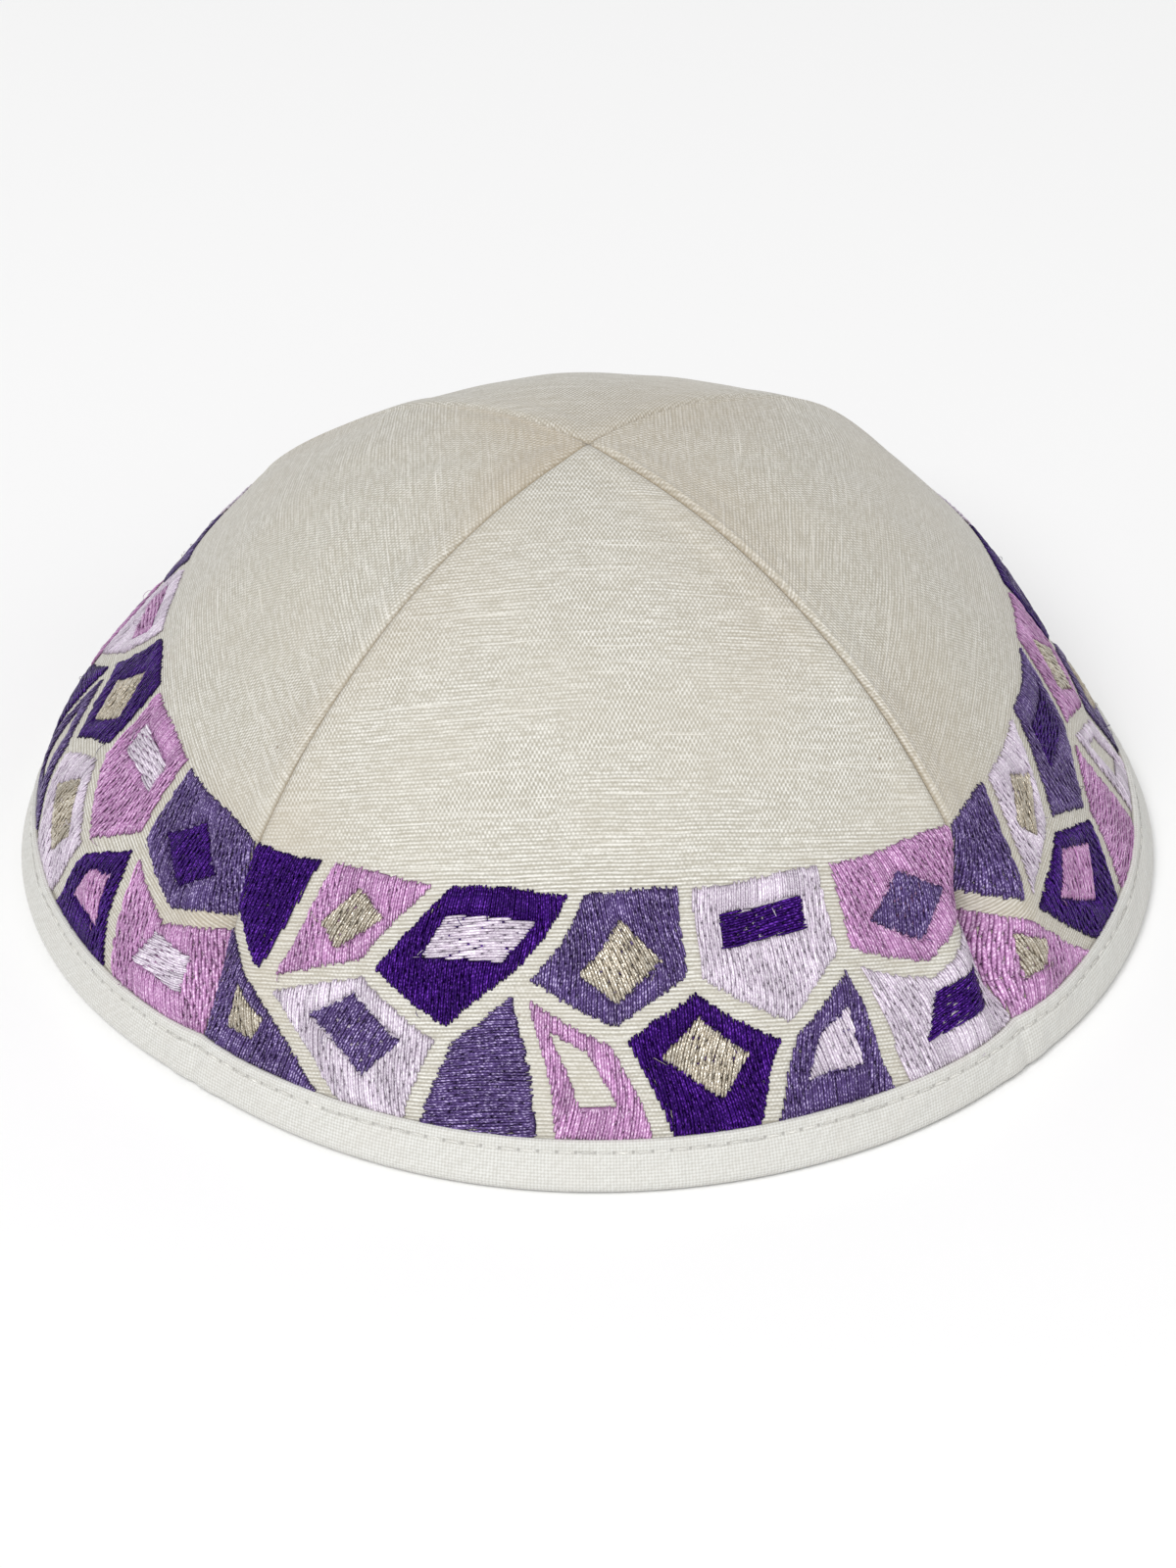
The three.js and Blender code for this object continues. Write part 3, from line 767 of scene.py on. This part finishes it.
def thread_material(name, deep, full, bright, roughness, hole_shade, specular, tint, metallic):
    """Plied thread: slanting plies as a bump and as painted light, a shift from the deep colour, painted
    shade on the strand's sides and between plies, to the full colour on its crown, and a bright painted glint
    on top;
    painted shade towards both needle holes, and a tone that rises from one row of the map to the next."""
    material, tree, shader = new_material(
        f"{name} thread", roughness, Specular_IOR_Level=specular, Specular_Tint=tint, Metallic=metallic
    )
    uv = add_node(tree, "UVMap", uv_map="OFBake").outputs[0]
    parts = split(tree, uv)
    rows = times(tree, parts[1], TONE_ROWS * SPANS)
    row, across = maths(tree, "FLOOR", rows), maths(tree, "FRACT", rows)
    span = maths(tree, "FLOOR", maths(tree, "DIVIDE", row, TONE_ROWS))
    length = times(tree, span, SPAN_STEP, SHORTEST_SPAN)
    along = times(tree, parts[0], length)
    to_end = maths(tree, "MINIMUM", along, maths(tree, "SUBTRACT", length, along))
    across_mm = times(tree, across, STRAND_GIRTH / 2)
    apart = times(tree, row, 3.7)
    place = add_node(tree, "CombineXYZ", {0: along, 1: across_mm, 2: apart}).outputs[0]
    plies = maths(tree, "ADD", across, maths(tree, "DIVIDE", along, PLY_PITCH))
    plies = times(tree, row, 0.37, plies)
    plies = times(tree, noise(tree, place, 0.9, 2.0), 1.6, plies)
    even_ply = times(tree, maths(tree, "SINE", times(tree, plies, 2 * np.pi)), 0.5, 0.5)
    dashes = mapped(tree, mapped(tree, place, Rotation=(0.0, 0.0, PLY_SLANT)), Scale=(1.3, 5.5, 1.0))
    dash = ramp(tree, noise(tree, dashes, 1.0, 1.0), 0.36, 0.62)
    ply = maths(tree, "ADD", times(tree, even_ply, 0.35), times(tree, dash, 0.65))
    from_top = maths(tree, "ABSOLUTE", maths(tree, "SUBTRACT", across, 0.5))
    crown = ramp(tree, from_top, 0.08, 0.42, 1.0, 0.0)
    # Painted light: the strand's sides and the gaps between plies take the deep colour as painted shade, the
    # crown the full colour
    ply_painted_light = times(tree, times(tree, ply, 0.75, 0.25), crown)
    base = mix_colour(tree, ply_painted_light, srgb(*deep), srgb(*full))
    # Painted highlight: a glint of the bright colour on the ply tops along the strand's crown
    painted_glint = times(tree, ramp(tree, ply, 0.58, 0.95), ramp(tree, from_top, 0.04, 0.3, 1.0, 0.0))
    base = mix_colour(tree, times(tree, painted_glint, 0.85), base, srgb(*bright))
    tone = maths(tree, "SUBTRACT", row, times(tree, span, TONE_ROWS))
    brightness = times(tree, tone, 0.6 / TONE_ROWS, 0.68)
    # Painted shade: the thread darkens towards both needle holes, where the strand dives into the cloth
    brightness = times(tree, brightness, ramp(tree, to_end, 0.05, 0.55, hole_shade, 1.0))
    grey = add_node(tree, "CombineColor", {0: brightness, 1: brightness, 2: brightness}).outputs[0]
    base = mix_colour(tree, 1.0, base, grey, "MULTIPLY")
    dress(tree, shader, base, 0.8, 0.00012, ply)
    return material


# Deep colour (painted shade on a strand's sides and between plies), full colour and bright colour (painted
# glint) of a thread, roughness, painted shade at the needle holes, level and tint of the specular light,
# share of metal
THREADS = {
    "violet": ((20, 0, 52), (60, 6, 122), (122, 62, 192), 0.36, 0.4, 0.2, (0.7, 0.5, 1, 1), 0),
    "slate": ((48, 30, 74), (114, 92, 156), (204, 190, 229), 0.34, 0.45, 0.25, (0.8, 0.7, 1, 1), 0),
    "orchid": ((148, 92, 144), (233, 180, 229), (253, 226, 251), 0.34, 0.6, 0.35, (1, 1, 1, 1), 0),
    "lilac": ((190, 174, 194), (248, 238, 250), (253, 248, 255), 0.36, 0.68, 0.4, (1, 1, 1, 1), 0),
    "metal": ((156, 143, 122), (235, 226, 210), (255, 251, 240), 0.28, 0.6, 0.5, (1, 1, 1, 1), 0.5),
    "sewing": ((221, 219, 213), (233, 232, 227), (240, 239, 235), 0.6, 0.9, 0.3, (1, 1, 1, 1), 0),
}
thread_materials = {name: thread_material(name, *looks) for name, looks in THREADS.items()}


def tones(points, draw):
    """A tone of 0 to 1 for each strand: a slow cloud over the cap and a draw for each strand."""
    cloud = 0.5 + 0.18 * np.sin(points[:, 0] * 0.55 + 2 * np.sin(points[:, 1] * 0.31))
    return np.clip(cloud + draw.normal(0, 0.14, len(points)), 0.05, 0.99)


def joined_piece(name, parts, material):
    """One mesh object from parts that are points, faces and UV places."""
    points, faces, places = [], [], []
    for part in parts:
        before = sum(len(p) for p in points)
        points.append(part[0])
        faces += [[i + before for i in face] for face in part[1]]
        places.append(part[2])
    return mesh_piece(name, np.concatenate(points), faces, {"OFBake": np.concatenate(places)}, material)


for number, gore in enumerate(GORES):
    draw = np.random.default_rng(100 + number)
    work = {thread: [] for thread in thread_materials}
    nodes = {thread: [] for thread in thread_materials}
    for name, thread, lean, corners, inlay, inlay_thread, inlay_lean in PATCHES:
        colour_name = THREAD_ORDER[(thread + number) % len(THREAD_ORDER)]
        nodes[colour_name].append(f"{gore}_patch_{name}")
        loops = [inset_outline(corners)]
        if inlay:
            loops.append(to_flat(inlay))
        work[colour_name].append((loops, lean, loops if inlay_thread is None else loops[:1]))
        if inlay_thread is not None:
            if inlay_thread != "metal":
                inlay_thread = THREAD_ORDER[(inlay_thread + number) % len(THREAD_ORDER)]
            loop = moved_out(to_flat(inlay), INLAY_OVERLAP)
            work[inlay_thread].append(([loop], inlay_lean, [loop]))
    place = band_place(number)
    for thread, fills in work.items():
        if not fills:
            continue
        parts = []
        for loops, lean, under_loops in fills:
            start, end = lay_stitches(loops, lean, draw)
            rise = np.clip(0.75 + np.linalg.norm(end - start, axis=1) / 12, 0.8, 1.25)
            parts.append(strand_surface(place, start, end, STRAND_SIZES, rise, tones(start, draw), draw))
            shrunk = [moved_out(under_loops[0], -UNDERLAY_INSET)] + under_loops[1:]
            under = lay_stitches(shrunk, lean + 90, draw, UNDERLAY_PITCH, UNDERLAY_SHORTER)
            low = np.full(len(under[0]), 0.75 if under_loops is loops else 0.5)
            # The underlay takes the darkest tone: a painted shade for the gaps between the fill strands
            underlay_shade_tone = np.zeros(len(low))
            parts.append(strand_surface(place, *under, UNDERLAY_SIZES, low, underlay_shade_tone, draw, PLAIN_RINGS))
            pulled = start[draw.integers(0, len(start), LOOSE_ENDS)]
            far = pulled + draw.uniform(-LOOSE_REACH, LOOSE_REACH, pulled.shape)
            high = draw.uniform(*LOOSE_RISE, LOOSE_ENDS)
            parts.append(strand_surface(place, pulled, far, LOOSE_SIZES, high, tones(pulled, draw), draw))
        piece = joined_piece(f"{gore}_{thread}_stitches", parts, thread_materials[thread])
        if nodes[thread]:
            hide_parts(*nodes[thread])

# The rim binding
# One off-white bias strip of plain-woven cotton, folded over the hem with both its edges turned in. It
# shows as a band outside and inside, puckers a little at each topstitch, and its ends overlap at the back.

# Height of the tape's face over the silk, where it starts and where it is full, and width of its edge
TAPE_START = 0.12
TAPE_LIFT = 1.0
TAPE_EDGE = 0.55
TAPE_COLUMNS = 700
# The topstitching's distance from the tape's edge, and the depth and width of the dip along it
STITCH_LINE = 1.75
LINE_DIP = 0.2
LINE_WIDTH = 0.5
SLOT_ROOM = 0.12
INNER_EASE = 0.15
INNER_PUCKER = 0.6
LEAST_FALL = 1e-6
TOPSTITCH_PITCH = 2.7
RIM_LENGTH = 2 * np.pi * RIM_RADIUS
TOPSTITCHES = round(RIM_LENGTH / TOPSTITCH_PITCH)
TAPE_JOIN = np.radians(104)


def rim_point(angle, share, lift):
    """A point by its angle about the axis, share of the way down and height over the cloth's outer face."""
    turn = (angle / GORE_ANGLE + 1.5) % 4
    gore = np.floor(turn)
    return cloth_point(gore, (turn - gore) * 2 - 1, share, lift)


def tape_outer(down):
    """Height of the tape's outer face over the cloth, at a distance down from its upper edge: a rounded
    turned edge, a dip along the topstitching and a full lower part."""
    edge = np.sqrt(np.clip(1 - (1 - np.clip(down / TAPE_EDGE, 0, 1)) ** 2, 0, 1))
    return TAPE_START + (TAPE_LIFT - TAPE_START) * edge - LINE_DIP * bell(down - STITCH_LINE, LINE_WIDTH)


def tape_pucker(angle, down):
    """Small waves of the tape: a hollow at each topstitch, drawn-in diagonals, slack along the rim, and the
    step where one end of the tape lies over the other."""
    stitch = np.cos(TOPSTITCHES * angle)
    near = bell(down - STITCH_LINE, 1.3)
    hollow = -0.09 * near * (0.5 + 0.5 * stitch)
    diagonal = 0.05 * np.sin(173 * angle + 0.9 * down) * np.clip(down / 3, 0, 1)
    slack = 0.10 * np.sin(29 * angle + 1.0 * down) * np.sin(7 * angle)
    join = np.clip((angle - TAPE_JOIN) * RIM_RADIUS + 0.9 * (down - 4), -30, 30)
    overlap = 0.22 / (1 + np.exp(-join / 0.15)) * np.exp(-((join / 9) ** 2) * (join > 0))
    return hollow + diagonal + slack + overlap


tape_down = np.concatenate(
    [np.linspace(0, 1, 9)[:-1] ** 1.6, np.linspace(1.0, BINDING_DEPTH - HEM_HEIGHT, 18)]
)
tape_share = BINDING_TOP + tape_down / GORE_LENGTH
turn_steps = np.linspace(0, np.pi, 9)[1:-1]
around = np.linspace(0, 2 * np.pi, TAPE_COLUMNS, endpoint=False)[None, :] - GORE_ANGLE
edge_fade = np.clip((1 - tape_share) * GORE_LENGTH / 2.0, 0, 1)[:, None]
tape_face = tape_outer(tape_down)[:, None]
pucker = tape_pucker(around, tape_down[:, None])
outer_face = rim_point(around, tape_share[:, None], tape_face + pucker * edge_fade)
inner_lift = -CLOTH_WALL - tape_face + INNER_EASE - INNER_PUCKER * pucker * edge_fade
inner_face = rim_point(around, tape_share[:, None], inner_lift)
fold_top, fold_end = outer_face[-1], inner_face[-1]
fold_middle, fold_half = (fold_top + fold_end) / 2, (fold_top - fold_end) / 2
outward = np.stack([np.cos(around[0]), np.sin(around[0]), 0 * around[0]], -1)
fall = -(fold_half * outward).sum(1)[:, None] * np.array([[0, 0, 1.0]]) + fold_half[:, 2:] * outward
fold_depth = np.minimum(1.0, fold_middle[:, 2] / np.maximum(-fall[:, 2], LEAST_FALL))[:, None]
fold_rows = np.stack(
    [fold_middle + fold_half * np.cos(t) + fall * fold_depth * np.sin(t) for t in turn_steps]
)
slot_share = np.linspace(BINDING_TOP + TAPE_EDGE / 2 / GORE_LENGTH, 1 + SLOT_ROOM / GORE_LENGTH, 6)[:, None]
slot_outer = rim_point(around, slot_share, SLOT_ROOM)
slot_inner = rim_point(around, slot_share, -CLOTH_WALL - SLOT_ROOM)
tape_grid = np.concatenate([outer_face, fold_rows, inner_face[::-1], slot_inner, slot_outer[::-1]])
tape_run = run_along(tape_grid[:, 0])


def closed_ring(grid, run, length, strips):
    """Faces of a grid that closes round the rim and round its section, and each corner's place in
    millimetres and in a map of stacked strips."""
    rows, columns = grid.shape[:2]
    index = np.arange(rows * columns).reshape(rows, columns)
    after = np.roll(index, -1, 1)
    faces = np.stack([index, np.roll(index, -1, 0), np.roll(after, -1, 0), after], -1).reshape(-1, 4).tolist()
    row, column = np.indices((rows, columns))[..., None]
    ring_run = np.concatenate([run, [run[-1] + 1.0]])
    x = (column + [0, 0, 1, 1]) / columns * length
    y = ring_run[row + [0, 1, 1, 0]]
    strip = column * strips // columns
    u = (column + [0, 0, 1, 1]) / columns * strips - strip
    v = (strip + 0.02 + 0.96 * y / ring_run[-1]) / strips
    return faces, np.stack([x, y], -1).reshape(-1, 2), np.stack([u, v], -1).reshape(-1, 2)


TAPE_STRIPS = 12
tape_material, tree, shader = new_material(
    "bias tape", 0.8, Sheen_Weight=0.2, Sheen_Roughness=0.5, Specular_IOR_Level=0.25
)
tape_uv = add_node(tree, "UVMap", uv_map="tape").outputs[0]
on_bias = mapped(tree, tape_uv, Rotation=(0.0, 0.0, np.radians(45)))
weave = add_weave(
    tree, on_bias, Rib_Pitch=0.34, Yarn_Pitch=0.34, Wander=0.5, Crossing=0.9, Slub_Share=0.25
)
# Painted shade: the grooves of the tape's weave take the darker colour and the yarn tops the lighter one
tone = ramp(tree, weave["Height"], 0.1, 1.0)
colour = mix_colour(tree, tone, srgb(192, 190, 183), srgb(225, 225, 221))
soft_cloud = ramp(tree, noise(tree, tape_uv, 0.16, 3.0), 0.4, 0.75, 0.0, 0.25)
tape_parts = split(tree, tape_uv)
hole_turn = times(tree, tape_parts[0], 2 * np.pi * TOPSTITCHES / RIM_LENGTH)
hole_near = ramp(tree, maths(tree, "COSINE", hole_turn), 0.72, 0.97)
line_run = float(np.interp(STITCH_LINE, tape_down, tape_run[: len(tape_down)]))
off_line = maths(tree, "ABSOLUTE", maths(tree, "SUBTRACT", tape_parts[1], line_run))
# Painted shade: dark dots in the dents at the topstitch needle holes
needle_hole_painted_shade = times(tree, hole_near, ramp(tree, off_line, 0.1, 0.36, 1.0, 0.0))
# Painted shadow: a dark line along the tape's upper edge, where it stands over the stitches
painted_edge_shadow = ramp(tree, tape_parts[1], 0.05, 0.4, 0.6, 0.0)
layers = [
    (soft_cloud, srgb(206, 202, 195)),
    (times(tree, needle_hole_painted_shade, 0.55), srgb(126, 122, 118)),
    (painted_edge_shadow, srgb(124, 110, 100)),
]
colour = layered(tree, colour, layers)
dress(tree, shader, colour, 0.7, 0.00009, weave["Height"])

tape_faces, tape_in_mm, tape_stacked = closed_ring(tape_grid, tape_run, RIM_LENGTH, TAPE_STRIPS)
tape_places = {"OFBake": tape_stacked, "tape": tape_in_mm}
tape_points = tape_grid.reshape(-1, 3)
binding = mesh_piece("bias_tape", tape_points, tape_faces, tape_places, tape_material)
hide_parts("rim_binding")

# The sewing threads
# Off-white polyester thread: the topstitching that holds the binding's two edges, sewn by machine right
# through the binding and seen outside and inside as short level stitches between needle holes.

# Share of the pitch that a stitch takes up, and its half width and half thickness
STITCH_SHARE = 0.40
TOPSTITCH_SIZES = (0.14, 0.10)
draw = np.random.default_rng(7)
stitch_angle = (np.arange(TOPSTITCHES) + 0.5) / TOPSTITCHES * 2 * np.pi - GORE_ANGLE
stitch_half = STITCH_SHARE * 2 * np.pi / TOPSTITCHES


def tape_stitch_place(side):
    """A function from millimetres along the rim and down the tape to the point outside or inside it."""

    def place(flat, height):
        angle, down = flat[..., 0] / RIM_RADIUS, flat[..., 1]
        face = tape_outer(down) + tape_pucker(angle, down)
        lift = face + height if side > 0 else -CLOTH_WALL - face + INNER_EASE - height
        return rim_point(angle, BINDING_TOP + down / GORE_LENGTH, lift)

    return place


stitch_parts = []
for side in (1, -1):
    down = STITCH_LINE + draw.uniform(-0.06, 0.06, TOPSTITCHES)
    start = np.stack([(stitch_angle - stitch_half) * RIM_RADIUS, down], 1)
    end = np.stack([(stitch_angle + stitch_half) * RIM_RADIUS, down + 0.1], 1)
    rise, tone = np.full(TOPSTITCHES, 0.3), draw.uniform(0.3, 0.8, TOPSTITCHES)
    place = tape_stitch_place(side)
    stitch_parts.append(strand_surface(place, start, end, TOPSTITCH_SIZES, rise, tone, draw, PLAIN_RINGS))
joined_piece("topstitching", stitch_parts, thread_materials["sewing"])

# The floor, the light and the camera
# A pale plain surface under soft studio light from the front and left, seen from the photograph's angle.

FLOOR_HALF = 10.0
WORLD_LIGHT = 0.52
floor_mesh = bpy.data.meshes.new("floor")
corners = [(-1, -1), (1, -1), (1, 1), (-1, 1)]
floor_mesh.from_pydata([(x * FLOOR_HALF, y * FLOOR_HALF, 0.0) for x, y in corners], [], [(0, 1, 2, 3)])
floor = add_object("floor", floor_mesh)
floor_material, tree, shader = new_material("floor paper", 0.9, Specular_IOR_Level=0.1)
shader.inputs["Base Color"].default_value = srgb(250, 250, 250)
floor_mesh.materials.append(floor_material)


def stand_at(made, azimuth, elevation, distance):
    """Stands an object so that it faces the cap. Azimuth 0 is in front, at -Y, and grows to the right."""
    turn, tilt = np.radians(azimuth), np.radians(elevation)
    out = distance * np.cos(tilt)
    made.location = (out * np.sin(turn), -out * np.cos(turn), distance * np.sin(tilt))
    made.rotation_euler = (np.pi / 2 - tilt, 0.0, turn)


def soft_light(name, azimuth, elevation, distance, size, power):
    """A square area light."""
    lamp = bpy.data.lights.new(name, "AREA")
    lamp.shape = "SQUARE"
    lamp.size = size
    lamp.energy = power
    stand_at(add_object(name, lamp), azimuth, elevation, distance)


soft_light("front softbox", -22, 50, 3.0, 1.4, 58)
soft_light("side softbox", 62, 40, 3.0, 1.8, 6)
world = bpy.data.worlds.new("studio")
world.use_nodes = True
background = world.node_tree.nodes["Background"].inputs
background["Color"].default_value = (1.0, 1.0, 1.0, 1.0)
background["Strength"].default_value = WORLD_LIGHT
bpy.context.scene.world = world
bpy.context.scene.view_settings.view_transform = "Standard"

CAMERA_DISTANCE = 0.75
CAMERA_ELEVATION = 35.66
CAMERA_TURN = 2.47
FOCAL_PIXELS = 4998.75
PICTURE_HEIGHT = 1600
SENSOR = 36.0
CENTRE_DROP_PIXELS = 53.4
camera = bpy.data.cameras.new("camera")
camera.sensor_width = SENSOR
camera.lens = FOCAL_PIXELS / PICTURE_HEIGHT * SENSOR
camera.shift_y = CENTRE_DROP_PIXELS / PICTURE_HEIGHT
camera.clip_start = 0.01
camera.clip_end = 20.0
stand = add_object("camera", camera)
stand_at(stand, -CAMERA_TURN, CAMERA_ELEVATION, CAMERA_DISTANCE)
bpy.context.scene.camera = stand
